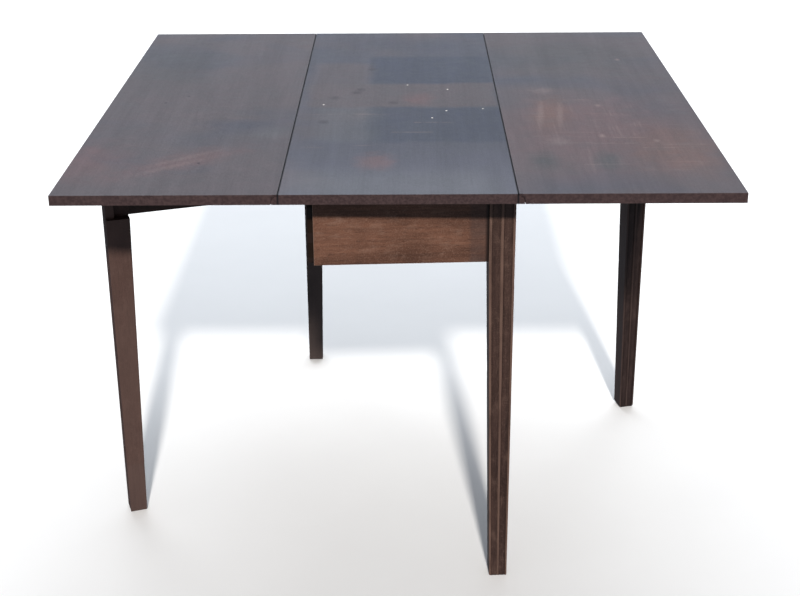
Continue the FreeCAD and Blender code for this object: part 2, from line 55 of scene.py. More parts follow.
NODES = frame["nodes"]
BODY_OF = {name: body for body, names in frame["record"]["behaviour"]["bodies"].items() for name in names}

BOARDS = ("left_leaf_board", "top_centre_board", "right_leaf_board")
APRONS = ("front_apron", "back_apron")
SHOWN_RAILS = ("left_fixed_rail", "right_fixed_rail", "left_fly_rail", "right_fly_rail")
OAK_RAILS = ("left_inner_rail", "right_inner_rail")

# The line of the right rule joint; the left one mirrors it
JOINTS = {joint["name"]: joint for joint in frame["record"]["behaviour"]["joints"]}
JOINT_X = JOINTS["right_leaf_hinge"]["pos_m"][0]

# A place far off the table, for a board's side that has no joint
NO_JOINT = 9.0

# Worn shape: how wide the arrises are rubbed round, how far apart the cuts that carry the wear are,
# how deep it goes, how near an arris a bead's crest lies, and half the width of a leg's foot
ARRIS = 0.0007
BOARD_ARRIS = 0.0012
SHORTEST_ARRIS = 0.02
CUT_STEP = 0.012
SWAY = 0.0002
SWAY_SCALE = 14.0
CHIP_DEPTH = 0.0016
CHIP_SCALE = 48.0
CHIP_RARITY = 0.38
BEAD_REACH = 0.0022
FOOT_HALF = 0.015
SHARP_ANGLE = math.radians(50.0)

# Marks on the top: a rubbed line's half width and its length as a share of a board's width;
# and how far back from its front edge a board is painted lighter, as painted light
RUB_WIDTH = 0.0011
LINE_SHARE = 0.2
FRONT_LIGHT_REACH = 0.35
JOINT_DIRT_INNER = 0.0009
JOINT_DIRT_OUTER = 0.0019

# Camera
CAMERA_PLACE = Vector((0.0118, -2.5679, 1.4269))
CAMERA_YAW = -0.0047
CAMERA_PITCH = 0.4041
CAMERA_ROLL = 0.0058
CAMERA_LENS = 65.73
CAMERA_SENSOR = 36.0
CAMERA_REACH = 200.0

# Light
SUN_ELEVATION = math.radians(33.0)
SUN_BEARING = math.radians(4.0)
SUN_STRENGTH = 3.6
SUN_SPREAD = math.radians(3.5)
SUN_PLACE = (0.0, -4.0, 3.0)
SUN_COLOUR = (1.0, 0.955, 0.90)
LAMP_AIM = Vector((0.0, 0.0, 0.5))
BACK_PLACE = (0.0, 6.0, 2.6)
BACK_SIZE = (9.0, 3.2)
BACK_POWER = 46.0
BACK_COLOUR = (0.80, 0.90, 1.0)
TOP_PLACE = (0.0, 3.2, 4.2)
TOP_SIZE = (5.0, 4.0)
TOP_POWER = 245.0
TOP_COLOUR = (0.92, 0.96, 1.0)
WORLD_COLOUR = (0.88, 0.95, 1.08, 1.0)
WORLD_STRENGTH = 0.25
FLOOR_SIZE = 60.0


def tone(red, green, blue):
    """A colour as a screen shows it, 0 to 255, made linear for the shader."""
    levels = []
    for level in (red, green, blue):
        share = level / 255.0
        levels.append(share / 12.92 if share <= 0.04045 else ((share + 0.055) / 1.055) ** 2.4)
    return (*levels, 1.0)


class Graph:
    """One material's nodes, built with short calls that pass sockets or plain values."""

    def __init__(self, name):
        self.material = bpy.data.materials.new(name)
        self.material.use_nodes = True
        self.tree = self.material.node_tree
        self.tree.nodes.clear()
        self.place = self.add("ShaderNodeTexCoord").outputs["Object"]
        self.normal = self.add("ShaderNodeTexCoord").outputs["Normal"]

    def add(self, kind, **settings):
        node = self.tree.nodes.new(kind)
        for key, value in settings.items():
            setattr(node, key, value)
        return node

    def put(self, socket, value):
        if isinstance(value, bpy.types.NodeSocket):
            self.tree.links.new(value, socket)
        else:
            socket.default_value = value

    def sum(self, operation, first, second=0.0):
        node = self.add("ShaderNodeMath", operation=operation, use_clamp=False)
        self.put(node.inputs[0], first)
        self.put(node.inputs[1], second)
        return node.outputs[0]

    def weighed(self, first, first_weight, second, second_weight):
        """Adds two values, each multiplied by its weight."""
        first_part = self.sum("MULTIPLY", first, first_weight)
        return self.sum("ADD", first_part, self.sum("MULTIPLY", second, second_weight))

    def stretched(self, scale, shift=(0.0, 0.0, 0.0), turn=(0.0, 0.0, 0.0)):
        node = self.add("ShaderNodeMapping", vector_type="POINT")
        self.put(node.inputs["Vector"], self.place)
        node.inputs["Location"].default_value = shift
        node.inputs["Rotation"].default_value = turn
        node.inputs["Scale"].default_value = scale
        return node.outputs[0]

    def noise(self, place, scale=1.0, detail=3.0, roughness=0.55, distortion=0.0):
        node = self.add("ShaderNodeTexNoise")
        self.put(node.inputs["Vector"], place)
        node.inputs["Scale"].default_value = scale
        node.inputs["Detail"].default_value = detail
        node.inputs["Roughness"].default_value = roughness
        node.inputs["Distortion"].default_value = distortion
        return node.outputs["Fac"]

    def step(self, value, low, high, from_value=0.0, to_value=1.0):
        """Eases from from_value to to_value as the input goes from low to high."""
        node = self.add("ShaderNodeMapRange", interpolation_type="SMOOTHSTEP", clamp=True)
        self.put(node.inputs["Value"], value)
        limits = {"From Min": low, "From Max": high, "To Min": from_value, "To Max": to_value}
        for name, number in limits.items():
            node.inputs[name].default_value = number
        return node.outputs[0]

    def mix(self, share, first, second, blend="MIX"):
        node = self.add("ShaderNodeMix", data_type="RGBA", blend_type=blend)
        self.put(node.inputs["Factor"], share)
        self.put(node.inputs[6], first)
        self.put(node.inputs[7], second)
        return node.outputs[2]

    def axis(self, vector, letter):
        node = self.add("ShaderNodeSeparateXYZ")
        self.put(node.inputs[0], vector)
        return node.outputs[letter]

    def patch(self, centre, size, turn=0.0, soft=0.6, wobble=0.25):
        """1 inside a soft-edged ellipse lying in X and Y, 0 outside it, with an uneven border."""
        cos, sin = math.cos(turn), math.sin(turn)
        shift_x = -(centre[0] * cos + centre[1] * sin) / size[0]
        shift_y = -(-centre[0] * sin + centre[1] * cos) / size[1]
        x = self.axis(self.place, "X")
        y = self.axis(self.place, "Y")
        across = self.weighed(x, cos / size[0], y, sin / size[0])
        lengthwise = self.weighed(x, -sin / size[1], y, cos / size[1])
        across = self.sum("ADD", across, shift_x)
        lengthwise = self.sum("ADD", lengthwise, shift_y)
        distance = self.sum("SQRT", self.weighed(across, across, lengthwise, lengthwise))
        rough = self.noise(self.place, 2.2 / min(size), 3.0)
        rough = self.sum("MULTIPLY", self.sum("SUBTRACT", rough, 0.5), 2.0 * wobble)
        distance = self.sum("ADD", distance, rough)
        return self.step(distance, 1.0 - soft, 1.0, 1.0, 0.0)

    def panel(self, low, high, soft, wander):
        """1 inside a rectangle lying in X and Y, 0 outside it, with sides that fade and wander."""
        inside = 1.0
        sway = self.sum("MULTIPLY", self.sum("SUBTRACT", self.noise(self.place, 16.0, 4.0), 0.5), wander)
        for letter, start, end in (("X", low[0], high[0]), ("Y", low[1], high[1])):
            spot = self.sum("ADD", self.axis(self.place, letter), sway)
            inside = self.sum("MULTIPLY", self.step(spot, start - soft, start + soft), inside)
            inside = self.sum("MULTIPLY", self.step(spot, end - soft, end + soft, 1.0, 0.0), inside)
        return inside

    def attribute(self, name):
        return self.add("ShaderNodeAttribute", attribute_name=name).outputs["Fac"]

    def bump(self, height, depth):
        node = self.add("ShaderNodeBump")
        node.inputs["Strength"].default_value = 1.0
        node.inputs["Distance"].default_value = depth
        self.put(node.inputs["Height"], height)
        return node.outputs[0]

    def finish(self, colour, roughness, height, depth, metallic=0.0, specular=0.5):
        shader = self.add("ShaderNodeBsdfPrincipled")
        self.put(shader.inputs["Base Color"], colour)
        self.put(shader.inputs["Roughness"], roughness)
        shader.inputs["Metallic"].default_value = metallic
        shader.inputs["Specular IOR Level"].default_value = specular
        self.put(shader.inputs["Normal"], self.bump(height, depth))
        output = self.add("ShaderNodeOutputMaterial")
        self.put(output.inputs["Surface"], shader.outputs[0])
        return self.material


def along(axis, lengthwise, crosswise):
    """A scale for a texture that is drawn out along one axis."""
    return tuple(lengthwise if letter == axis else crosswise for letter in "XYZ")


def wood_grain(graph, axis, shift):
    """Figure, fine streaks and pores of wood that grows along an axis, each from 0 to 1."""
    figure = graph.noise(graph.stretched(along(axis, 1.6, 22.0), shift), 1.0, 4.0, 0.55, 0.6)
    streaks = graph.noise(graph.stretched(along(axis, 7.0, 260.0), shift), 1.0, 3.0, 0.6)
    pores = graph.noise(graph.stretched(along(axis, 60.0, 1100.0), shift), 1.0, 2.0, 0.6)
    return figure, streaks, graph.step(pores, 0.56, 0.70)


# Top boards

# The slate and pale tones are partly painted reflection: besides the grey bloom of old wax they hold the
# bluish sheen of a bright sky on the top.
TOP_SLATE = tone(70, 71, 81)
TOP_DEEP_SLATE = tone(60, 64, 77)
TOP_TAUPE = tone(81, 75, 79)
TOP_PINK = tone(95, 75, 77)
TOP_RUST = tone(97, 75, 70)
TOP_MOSS = tone(69, 69, 72)
TOP_PALE = tone(85, 87, 91)
TOP_DARK = tone(46, 43, 49)
TOP_SCUFF = tone(128, 112, 110)
TOP_SPECK = tone(222, 216, 208)
JOINT_DIRT = tone(17, 15, 18)
END_GRAIN = tone(54, 40, 40)
END_GRAIN_PALE = tone(73, 57, 56)
RAW_UNDERSIDE = tone(92, 60, 42)
RAW_UNDERSIDE_DARK = tone(58, 36, 27)


class Board:
    """One board of the top: its material's graph, the colour so far, and its place on the table."""

    def __init__(self, node, joints, seed, slate_share):
        self.joints = joints
        box_low, box_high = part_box(node)
        self.low = Vector((max(box_low.x, joints[0]), box_low.y))
        self.high = Vector((min(box_high.x, joints[-1]), box_high.y))
        self.graph = Graph("waxed_" + node)
        self.shift = (seed, seed * 0.7, 0.0)
        self.cloud = self.graph.noise(self.graph.stretched((3.4, 4.6, 1.0), self.shift), 1.0, 3.0, 0.5, 0.4)
        share = self.graph.step(self.cloud, slate_share - 0.16, slate_share + 0.16)
        self.colour = self.graph.mix(share, TOP_SLATE, TOP_TAUPE)

    def spot(self, across, lengthwise):
        """A place on the board from its shares of the board's width and length."""
        x = self.low.x + across * (self.high.x - self.low.x)
        y = self.low.y + lengthwise * (self.high.y - self.low.y)
        return x, y

    def tint(self, inside, colour, strength):
        share = self.graph.sum("MULTIPLY", inside, strength)
        self.colour = self.graph.mix(share, self.colour, colour)

    def region(self, across, lengthwise, soft, wander):
        """1 inside a rectangle given by its two shares across and its two shares lengthwise."""
        low = self.spot(across[0], lengthwise[0])
        high = self.spot(across[1], lengthwise[1])
        return self.graph.panel(low, high, soft, wander)

    def zone(self, across, lengthwise, colour, strength, soft=0.02, wander=0.03):
        """Tints a rectangle, from its two shares across and its two shares lengthwise."""
        self.tint(self.region(across, lengthwise, soft, wander), colour, strength)

    def cloudy(self, across, lengthwise, size, colour, strength, turn=0.0, ragged=0.4):
        """Tints a soft ellipse of a size in metres, turned by an angle in degrees."""
        inside = self.graph.patch(self.spot(across, lengthwise), size, math.radians(turn), 0.9, ragged)
        self.tint(inside, colour, strength)

    def rubbed_line(self, across, lengthwise, strength):
        """Tints a thin, broken pale line that runs across the table."""
        start, place = self.spot(across[0], lengthwise)
        end, _ = self.spot(across[1], lengthwise)
        low = (start, place - RUB_WIDTH)
        high = (end, place + RUB_WIDTH)
        inside = self.graph.panel(low, high, RUB_WIDTH, 0.003)
        broken = self.graph.step(self.graph.noise(self.graph.place, 60.0, 2.0), 0.36, 0.60, 0.2, 1.0)
        self.tint(self.graph.sum("MULTIPLY", inside, broken), TOP_SCUFF, strength)

    def speck(self, across, lengthwise, size, colour, strength):
        inside = self.graph.patch(self.spot(across, lengthwise), (size, size * 1.6), 0.0, 0.5, 0.3)
        self.tint(inside, colour, strength)

    def scratched(self, across, lengthwise, scale, strength):
        """Tints fine broken scratches inside a rectangle; scale draws them out along X or Y."""
        graph = self.graph
        region = self.region(across, lengthwise, 0.03, 0.05)
        lines = graph.step(graph.noise(graph.stretched(scale, self.shift), 1.0, 2.0, 0.5), 0.56, 0.72)
        broken = graph.step(graph.noise(graph.place, 19.0, 3.0), 0.42, 0.62)
        inside = graph.sum("MULTIPLY", graph.sum("MULTIPLY", lines, broken), region)
        self.tint(inside, TOP_SCUFF, strength)

    def finish(self, worn_edge_and_highlight, edge_wear, front_light_lift):
        """Adds the wood's own grain, the edges, the underside and the wear, and gives the material.

        front_light_lift is how much lighter the face is painted toward its front edge, as painted light for
        the brighter front of the top."""
        graph = self.graph
        figure, streaks, pores = wood_grain(graph, "Y", self.shift)
        mottle = graph.noise(graph.stretched((38.0, 38.0, 38.0), self.shift), 1.0, 4.0, 0.6)
        drift = graph.noise(graph.stretched((9.0, 13.0, 9.0), self.shift), 1.0, 4.0, 0.62, 0.5)
        weave = graph.noise(graph.place, 420.0, 2.0, 0.5)
        shade = graph.step(figure, 0.25, 0.75, 0.90, 1.08)
        shade = graph.sum("ADD", shade, graph.step(mottle, 0.2, 0.8, -0.15, 0.15))
        shade = graph.sum("ADD", shade, graph.step(drift, 0.25, 0.75, -0.10, 0.10))
        shade = graph.sum("ADD", shade, graph.step(streaks, 0.25, 0.75, -0.07, 0.07))
        shade = graph.sum("ADD", shade, graph.step(weave, 0.25, 0.75, -0.12, 0.12))
        shade = graph.sum("SUBTRACT", shade, graph.sum("MULTIPLY", pores, 0.10))
        # Painted light: the face grows lighter toward its front edge, for the brighter light on the top's
        # front.
        front = graph.axis(graph.place, "Y")
        front_painted_light = graph.step(front, self.low.y, self.low.y + FRONT_LIGHT_REACH, front_light_lift, 0.0)
        shade = graph.sum("ADD", shade, front_painted_light)
        tint = graph.add("ShaderNodeCombineColor")
        for channel in range(3):
            graph.put(tint.inputs[channel], shade)
        colour = graph.mix(1.0, self.colour, tint.outputs[0], "MULTIPLY")

        up = graph.axis(graph.normal, "Z")
        end = graph.mix(graph.step(streaks, 0.3, 0.7), END_GRAIN, END_GRAIN_PALE)
        raw = graph.mix(graph.step(figure, 0.3, 0.7), RAW_UNDERSIDE_DARK, RAW_UNDERSIDE)
        raw = graph.mix(graph.sum("MULTIPLY", pores, 0.5), raw, RAW_UNDERSIDE_DARK)
        colour = graph.mix(graph.step(up, 0.35, 0.8), end, colour)
        colour = graph.mix(graph.step(up, -0.9, -0.5, 1.0, 0.0), colour, raw)
        # Rubbed arrises: real wear, and partly a painted highlight, as the pale colour stands in for the
        # light caught on the rounded front arris.
        uneven = graph.step(mottle, 0.35, 0.6, 0.3 * edge_wear, edge_wear)
        worn = graph.sum("MULTIPLY", graph.attribute("worn"), uneven)
        colour = graph.mix(worn, colour, worn_edge_and_highlight)
        for joint in self.joints:
            offset = graph.sum("ABSOLUTE", graph.sum("SUBTRACT", graph.axis(graph.place, "X"), joint))
            dirt = graph.step(offset, JOINT_DIRT_INNER, JOINT_DIRT_OUTER, 0.92, 0.0)
            colour = graph.mix(dirt, colour, JOINT_DIRT)

        roughness = graph.step(mottle, 0.2, 0.8, 0.42, 0.54)
        roughness = graph.sum("ADD", roughness, graph.step(drift, 0.3, 0.7, -0.03, 0.05))
        height = graph.sum("ADD", graph.sum("MULTIPLY", streaks, 0.5), graph.sum("MULTIPLY", weave, 0.5))
        height = graph.sum("SUBTRACT", height, graph.sum("MULTIPLY", pores, 0.6))
        return graph.finish(colour, roughness, height, 0.00012)


def strewn(seed, count, across, lengthwise):
    """Places scattered over a rectangle of a board, as shares of the board's width and length."""
    chance = random.Random(seed)
    return [(chance.uniform(*across), chance.uniform(*lengthwise)) for _ in range(count)]


def left_board_material():
    board = Board(BOARDS[0], (-NO_JOINT, -JOINT_X), 1.7, 0.42)
    board.cloudy(0.70, 0.55, (0.14, 0.30), TOP_TAUPE, 0.7, -12.0)
    board.cloudy(0.20, 0.75, (0.16, 0.30), TOP_MOSS, 0.5)
    board.cloudy(0.70, 0.35, (0.09, 0.045), TOP_DEEP_SLATE, 0.5)
    board.cloudy(0.50, 0.15, (0.18, 0.060), TOP_PINK, 0.7, 40.0)
    board.cloudy(0.05, 0.15, (0.10, 0.16), TOP_PINK, 0.7)
    board.cloudy(0.90, 0.30, (0.05, 0.05), TOP_PALE, 0.4)
    for offset in (-0.02, 0.02):
        board.cloudy(0.50 + offset, 0.15 + offset, (0.10, 0.012), TOP_SCUFF, 0.20, 40.0, 0.8)
    for place in strewn(3, 3, (0.1, 0.9), (0.1, 0.8)):
        board.speck(*place, 0.0035, TOP_DARK, 0.7)
    return board.finish(tone(100, 88, 88), 0.35, 0.04)


def centre_board_material():
    board = Board(BOARDS[1], (-JOINT_X, JOINT_X), 4.1, 0.62)
    board.cloudy(0.45, 0.90, (0.22, 0.10), TOP_DEEP_SLATE, 0.5)
    for start in (0.25, 0.60):
        board.zone((0.35, 1.10), (start, start + 0.2), TOP_DEEP_SLATE, 0.85, 0.012)
    board.zone((0.05, 0.35), (0.50, 0.75), TOP_TAUPE, 0.8)
    board.zone((0.05, 1.00), (0.45, 0.60), TOP_TAUPE, 0.95, 0.012)
    board.zone((0.10, 0.40), (0.25, 0.45), TOP_PALE, 0.35)
    for across, lengthwise in ((0.6, 0.5), (0.4, 0.15)):
        board.cloudy(across, lengthwise, (0.045, 0.065), TOP_PINK, 0.7)
    # Painted light: a pale strip along the front of the board, for the brighter light on the top's front.
    board.zone((0.05, 0.95), (-0.05, 0.10), TOP_PALE, 0.45, 0.05)
    for place in strewn(11, 6, (0.1, 0.5), (0.15, 0.85)):
        board.cloudy(*place, (0.013, 0.017), TOP_DARK, 0.5, 0.0, 0.5)
    for place in strewn(17, 6, (0.1, 0.95), (0.35, 0.65)):
        board.speck(*place, 0.0021, TOP_SPECK, 0.9)
    board.scratched((0.05, 0.45), (0.20, 0.45), (5.0, 160.0, 1.0), 0.25)
    for across, lengthwise in strewn(19, 2, (0.1, 0.8), (0.2, 0.4)):
        board.rubbed_line((across, across + LINE_SHARE), lengthwise, 0.7)
    return board.finish(tone(165, 158, 162), 0.9, 0.40)


def right_board_material():
    board = Board(BOARDS[2], (JOINT_X, NO_JOINT), 7.3, 0.40)
    board.cloudy(0.40, 0.80, (0.25, 0.22), TOP_MOSS, 0.6)
    board.cloudy(0.45, 0.30, (0.30, 0.36), TOP_PINK, 0.7)
    board.cloudy(0.80, 0.20, (0.11, 0.19), TOP_RUST, 0.7)
    for across in (0.15, 0.45):
        board.cloudy(across, 0.15, (0.035, 0.070), TOP_MOSS, 0.8)
    board.cloudy(0.25, 0.40, (0.050, 0.17), TOP_RUST, 0.7, -5.0)
    board.scratched((0.10, 0.95), (0.10, 0.50), (4.0, 210.0, 1.0), 0.30)
    board.scratched((0.15, 0.90), (0.10, 0.50), (170.0, 4.0, 1.0), 0.22)
    for offset in (-0.05, 0.05):
        board.cloudy(0.25 + offset, 0.40, (0.009, 0.13), TOP_SCUFF, 0.31, -5.0, 0.8)
    for lengthwise in (0.25, 0.55):
        board.cloudy(0.25, lengthwise, (0.032, 0.030), TOP_SCUFF, 0.27, 0.0, 0.7)
    for place in strewn(23, 4, (0.1, 0.8), (0.2, 0.8)):
        board.cloudy(*place, (0.008, 0.012), TOP_SCUFF, 0.5)
    for across, lengthwise in strewn(29, 8, (0.05, 0.75), (0.1, 0.5)):
        board.rubbed_line((across, across + LINE_SHARE), lengthwise, 0.5)
    return board.finish(tone(156, 140, 140), 0.9, 0.02)


# Legs, rails and metal

GREY_STAIN_AND_COOL_LIGHT = tone(66, 56, 55)
RAIL_END = tone(24, 18, 16)
HOLLOW_SHADE_REACH = 0.008
BLACK_BY_POST = 0.006
TONGUE = 0.0094
TONGUE_FADE = 0.0003
END_FADE = 0.004
COOL_LIGHT_BAND = 0.10


def stained_material(name, axis, seed, deep, pale, wear, blotches=0.25, cool_light_band=0.0, black_ends=()):
    """Old stained mahogany: grain along one axis, greyed blotches, painted shade in corners and hollows, and
    rubbed arrises.

    Below the height cool_light_band a greyer tone is painted, standing in for the cooler light on the low
    part of the leg.
    black_ends are pairs (clean, black) of places along X where the colour turns nearly black, and the finish
    is greyed where the last of them begins."""
    graph = Graph(name)
    figure, streaks, pores = wood_grain(graph, axis, (seed, seed * 1.3, seed * 0.4))
    cloud = graph.noise(graph.place, 9.0, 3.0, 0.55)
    mottle = graph.noise(graph.stretched(along(axis, 30.0, 58.0)), 1.0, 5.0, 0.62, 0.3)
    share = graph.step(figure, 0.25, 0.75, 0.0, 0.6)
    share = graph.sum("ADD", share, graph.step(streaks, 0.25, 0.75, 0.0, 0.4))
    colour = graph.mix(share, deep, pale)
    dark = tuple(0.5 * level for level in deep[:3]) + (1.0,)
    colour = graph.mix(graph.sum("MULTIPLY", pores, 0.45), colour, dark)
    colour = graph.mix(graph.step(cloud, 0.35, 0.75, 0.0, 0.35), colour, dark)
    colour = graph.mix(graph.step(mottle, 0.50, 0.72, 0.0, blotches), colour, wear)
    colour = graph.mix(graph.step(mottle, 0.28, 0.48, blotches, 0.0), colour, dark)
    speckle = graph.noise(graph.place, 520.0, 3.0, 0.6)
    colour = graph.mix(graph.step(speckle, 0.50, 0.72, 0.0, blotches), colour, wear)
    colour = graph.mix(graph.step(speckle, 0.30, 0.48, blotches, 0.0), colour, dark)
    height = graph.axis(graph.place, "Z")
    # Painted light: below the band's height the colour is mixed toward grey, for the cooler light low on the
    # leg.
    colour = graph.mix(graph.step(height, cool_light_band - 0.002, cool_light_band + 0.002, 0.35, 0.0), colour, GREY_STAIN_AND_COOL_LIGHT)
    # Painted shade: where ambient occlusion finds hollows and corners, the colour is darkened toward the dark
    # tone.
    occluded = graph.add("ShaderNodeAmbientOcclusion", samples=6, only_local=True)
    occluded.inputs["Distance"].default_value = HOLLOW_SHADE_REACH
    open_air = occluded.outputs["AO"]
    colour = graph.mix(graph.step(open_air, 0.35, 0.95, 0.8, 0.0), colour, dark)
    rubbed = graph.sum("MULTIPLY", graph.step(cloud, 0.3, 0.6, 0.45, 0.95), graph.step(open_air, 0.55, 0.9))
    colour = graph.mix(graph.sum("MULTIPLY", graph.attribute("worn"), rubbed), colour, wear)
    if black_ends:
        beside = black_ends[-1][0]
        patch = graph.sum("ABSOLUTE", graph.sum("SUBTRACT", graph.axis(graph.place, "X"), beside))
        patch = graph.step(patch, 0.018, 0.026, 0.5, 0.0)
        patch = graph.sum("MULTIPLY", patch, graph.step(mottle, 0.25, 0.6, 0.5, 1.0))
        colour = graph.mix(patch, colour, GREY_STAIN_AND_COOL_LIGHT)
    # The colour turns nearly black across each span along X, on the tongue and beside the fixed leg.
    for clean, black in black_ends:
        spot = graph.axis(graph.place, "X")
        soil = graph.step(spot, clean, black) if clean < black else graph.step(spot, black, clean, 1.0, 0.0)
        colour = graph.mix(graph.sum("MULTIPLY", soil, 0.92), colour, RAIL_END)
    gloss = graph.sum("ADD", graph.step(cloud, 0.2, 0.8, 0.46, 0.60), graph.step(mottle, 0.3, 0.7, 0.0, 0.06))
    relief = graph.sum("SUBTRACT", streaks, graph.sum("MULTIPLY", pores, 0.8))
    return graph.finish(colour, gloss, relief, 0.00018, specular=0.28)


def apron_black_spans(node):
    """Where an apron goes black along X: on its dovetailed tongue, and just beside its fixed leg."""
    low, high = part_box(node)
    if node == "front_apron":
        tongue = low.x + TONGUE
        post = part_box("front_right_leg")[0].x
        return (tongue + TONGUE_FADE, tongue), (post - BLACK_BY_POST, post)
    tongue = high.x - TONGUE
    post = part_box("back_left_leg")[1].x
    return (tongue - TONGUE_FADE, tongue), (post + BLACK_BY_POST, post)


def oak_material(name, axis, seed, end_place=None):
    """Unfinished oak gone brown with age, with open pores and rays.

    Past end_place along Y it turns nearly black, where an end shows at the table's corner."""
    graph = Graph(name)
    figure, streaks, pores = wood_grain(graph, axis, (seed, seed * 0.3, seed * 2.0))
    colour = graph.mix(graph.step(figure, 0.25, 0.75), tone(96, 68, 44), tone(134, 101, 68))
    colour = graph.mix(graph.sum("MULTIPLY", graph.step(streaks, 0.45, 0.75), 0.5), colour, tone(78, 54, 35))
    colour = graph.mix(graph.sum("MULTIPLY", pores, 0.6), colour, tone(58, 40, 27))
    stain = graph.step(graph.noise(graph.place, 7.0, 4.0), 0.5, 0.75, 0.0, 0.5)
    colour = graph.mix(stain, colour, tone(66, 48, 36))
    if end_place is not None:
        reach = graph.sum("ABSOLUTE", graph.axis(graph.place, "Y"))
        end = graph.step(reach, end_place - END_FADE, end_place + END_FADE, 0.0, 0.95)
        colour = graph.mix(end, colour, RAIL_END)
    height = graph.sum("SUBTRACT", streaks, pores)
    return graph.finish(colour, graph.step(streaks, 0.2, 0.8, 0.72, 0.86), height, 0.0003, specular=0.3)


def iron_material(name, seed, pale):
    """Dark wrought iron with brown rust in patches and a rubbed, brighter skin."""
    graph = Graph(name)
    place = graph.stretched((1.0, 1.0, 1.0), (seed, 0.0, seed))
    rust = graph.step(graph.noise(place, 130.0, 5.0, 0.65), 0.46, 0.62)
    pits = graph.noise(place, 900.0, 3.0, 0.6)
    rubbed = graph.step(graph.noise(place, 60.0, 2.0), 0.4, 0.7)
    colour = graph.mix(rubbed, tone(58, 54, 52), pale)
    colour = graph.mix(rust, colour, tone(84, 52, 36))
    roughness = graph.sum("ADD", graph.step(pits, 0.3, 0.7, 0.42, 0.55), graph.sum("MULTIPLY", rust, 0.3))
    return graph.finish(colour, roughness, pits, 0.0003, metallic=0.85)


# Geometry


def new_piece(name, mesh, material, node):
    """Makes a bmesh into a piece that stands for a frame node and moves with its body."""
    data = bpy.data.meshes.new(name)
    mesh.to_mesh(data)
    mesh.free()
    data.materials.append(material)
    data.shade_smooth()
    data.set_sharp_from_angle(angle=SHARP_ANGLE)
    piece = bpy.data.objects.new(name, data)
    bpy.context.scene.collection.objects.link(piece)
    even = piece.modifiers.new("even_shading", "WEIGHTED_NORMAL")
    even.keep_sharp = True
    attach(piece, BODY_OF[node])
    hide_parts(node)
    return piece


def clean_copy(node):
    """A frame node's shape with its vertices joined up and its flat faces whole."""
    mesh = bmesh.new()
    mesh.from_mesh(NODES[node].data)
    bmesh.ops.remove_doubles(mesh, verts=mesh.verts, dist=1e-6)
    bmesh.ops.dissolve_limit(mesh, angle_limit=math.radians(0.5), verts=mesh.verts, edges=mesh.edges)
    return mesh


def rub_arrises(mesh, width):
    """Rounds the long outer edges and marks the new faces as worn."""
    worn = mesh.faces.layers.float.new("worn")
    arrises = []
    for edge in mesh.edges:
        long_enough = edge.is_manifold and edge.calc_length() > SHORTEST_ARRIS
        if long_enough and edge.calc_face_angle_signed(0.0) > 1.0:
            arrises.append(edge)
    made = bmesh.ops.bevel(mesh, geom=arrises, offset=width, offset_type="OFFSET", segments=2, profile=0.5,
                           affect="EDGES", clamp_overlap=True)
    for face in made["faces"]:
        face[worn] = 1.0


def cut_across(mesh, axis, places):
    """Cuts the mesh with planes at places along an axis, so that wear has points to move."""
    normal = Vector((0.0, 0.0, 0.0))
    normal[axis] = 1.0
    for place in places:
        everything = [*mesh.verts, *mesh.edges, *mesh.faces]
        bmesh.ops.bisect_plane(mesh, geom=everything, dist=1e-5, plane_co=normal * place, plane_no=normal)


def cut_evenly(mesh, axis):
    low = min(vert.co[axis] for vert in mesh.verts)
    high = max(vert.co[axis] for vert in mesh.verts)
    count = round((high - low) / CUT_STEP)
    cut_across(mesh, axis, [low + (high - low) * index / count for index in range(1, count)])


def chip_arrises(mesh, seed):
    """Wears the arrises in by uneven amounts, with a deeper chip here and there."""
    worn = mesh.faces.layers.float["worn"]
    for vert in mesh.verts:
        if any(face[worn] > 0.9 for face in vert.link_faces):
            sway = SWAY * abs(noise.noise(vert.co * SWAY_SCALE + Vector((seed, 0.0, 0.0))))
            bite = noise.noise(vert.co * CHIP_SCALE + Vector((0.0, seed, 0.0))) - CHIP_RARITY
            chip = CHIP_DEPTH * max(0.0, bite)
            vert.co -= vert.normal * (sway + chip)


def mark_beads(mesh):
    """Marks the faces that lie wholly close to a worn arris, which are the crests of the narrow beads."""
    worn = mesh.faces.layers.float["worn"]
    rubbed = [vert.co for face in mesh.faces if face[worn] > 0.9 for vert in face.verts]
    tree = KDTree(len(rubbed))
    for index, place in enumerate(rubbed):
        tree.insert(place, index)
    tree.balance()
    near = {vert for vert in mesh.verts if tree.find(vert.co)[2] < BEAD_REACH}
    for face in mesh.faces:
        if face[worn] < 0.9 and all(vert in near for vert in face.verts):
            face[worn] = 0.5


def round_foot(mesh, radius):
    """Rounds the bottom of a leg over, as years of standing and dragging do."""
    cut_across(mesh, 2, [radius * share for share in (0.08, 0.25, 0.5, 1.0)])
    sole = [vert.co for vert in mesh.verts if vert.co.z < 1e-5]
    centre = sum(sole, Vector()) / len(sole)
    for vert in mesh.verts:
        if vert.co.z < radius:
            inset = radius - math.sqrt(radius ** 2 - (radius - max(vert.co.z, 0.0)) ** 2)
            shrink = 1.0 - inset / FOOT_HALF
            vert.co.x = centre.x + (vert.co.x - centre.x) * shrink
            vert.co.y = centre.y + (vert.co.y - centre.y) * shrink


def stained_piece(node, material, axis, seed):
    mesh = clean_copy(node)
    rub_arrises(mesh, ARRIS)
    cut_evenly(mesh, axis)
    chip_arrises(mesh, seed)
    return new_piece("worn_" + node, mesh, material, node)


def leg_piece(node, material, foot_radius, seed):
    mesh = clean_copy(node)
    rub_arrises(mesh, ARRIS)
    mark_beads(mesh)
    cut_evenly(mesh, 2)
    chip_arrises(mesh, seed)
    round_foot(mesh, foot_radius)
    return new_piece("worn_" + node, mesh, material, node)


def board_piece(node, material, seed):
    mesh = clean_copy(node)
    rub_arrises(mesh, BOARD_ARRIS)
    cut_evenly(mesh, 0)
    cut_evenly(mesh, 1)
    chip_arrises(mesh, seed)
    return new_piece("worn_" + node, mesh, material, node)


# The whole table


